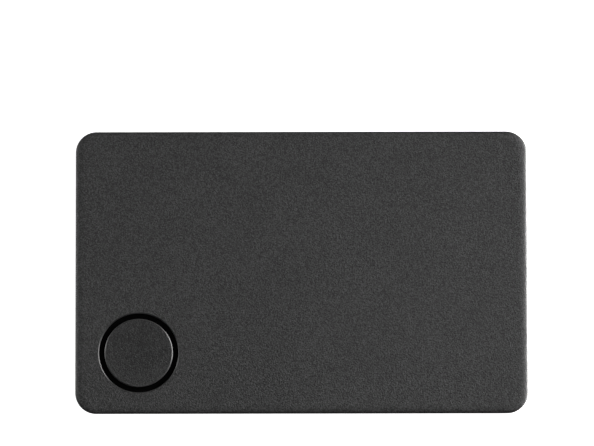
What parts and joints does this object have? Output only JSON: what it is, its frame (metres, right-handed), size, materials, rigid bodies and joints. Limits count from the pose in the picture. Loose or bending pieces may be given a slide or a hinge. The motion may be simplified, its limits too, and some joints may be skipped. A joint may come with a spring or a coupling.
{
  "type": "wallet-card bluetooth tracker",
  "caption": "Thin wallet-card tracker: matte dark slab with rolled edges, round corners and a round push button flush in a ring gap near one corner.",
  "frame": {"origin": "under the card's centre, on the plane that its back rests on", "axes": "+X along the long side, with the button towards -X; +Y along the short side, with the button towards -Y; +Z out of the front face"},
  "size_m": [0.0862, 0.054, 0.0024],
  "materials": {
    "casing": "fine spark-eroded texture, dark grey",
    "back_casing": "fine spark-eroded texture, dark grey",
    "button": "fine spark-eroded texture, dark grey",
    "membrane_rubber": "dull black silicone",
    "sealant": "cured adhesive",
    "frame_plastic": "plain moulded grey",
    "dome_steel": "bright stamped spring steel",
    "clear_film": "thin polyester film",
    "board_laminate": "green solder mask over glass fibre laminate",
    "tape": "thin double-sided tape",
    "chip_resin": "moulded black epoxy",
    "crystal_can": "plated metal lid",
    "antenna_ceramic": "fired white ceramic",
    "part_ceramic": "fired tan ceramic with tinned ends",
    "ferrite": "dark ferrite",
    "sounder_brass": "rolled brass sheet",
    "sounder_ceramic": "silvered ceramic face",
    "lead_copper": "rolled copper foil",
    "pouch_foil": "laminated aluminium foil",
    "tab_nickel": "rolled nickel strip",
    "amber_film": "amber polyimide film",
    "foam": "closed-cell foam"
  },
  "bodies": {
    "case": {"front_shell": "casing", "back_cover": "back_casing", "perimeter_adhesive": "sealant", "mid_frame": "frame_plastic", "button_membrane": "membrane_rubber", "snap_dome": "dome_steel", "dome_sticker": "clear_film", "main_board": "board_laminate", "board_adhesive": "tape", "bluetooth_chip": "chip_resin", "main_crystal": "crystal_can", "clock_crystal": "crystal_can", "chip_antenna": "antenna_ceramic", "antenna_inductors": "part_ceramic", "small_capacitors": "part_ceramic", "small_resistors": "chip_resin", "bulk_capacitor": "chip_resin", "buzzer_driver": "chip_resin", "boost_inductor": "ferrite", "piezo_plate": "sounder_brass", "piezo_ceramic": "sounder_ceramic", "piezo_adhesive": "sealant", "piezo_leads": "lead_copper", "battery_cell": "pouch_foil", "battery_tabs": "tab_nickel", "tab_insulation": "amber_film", "battery_adhesive": "tape", "battery_foam": "foam"},
    "button": {"button_cap": "button", "button_plunger": "membrane_rubber"}
  },
  "joints": [
    {"name": "button_press", "type": "slide", "parent": "case", "child": "button", "axis": [0, 0, -1], "range_m": [0, 0.00015], "stiffness_N_per_m": 1500, "deforming": ["button_membrane", "snap_dome", "dome_sticker"]}
  ]
}
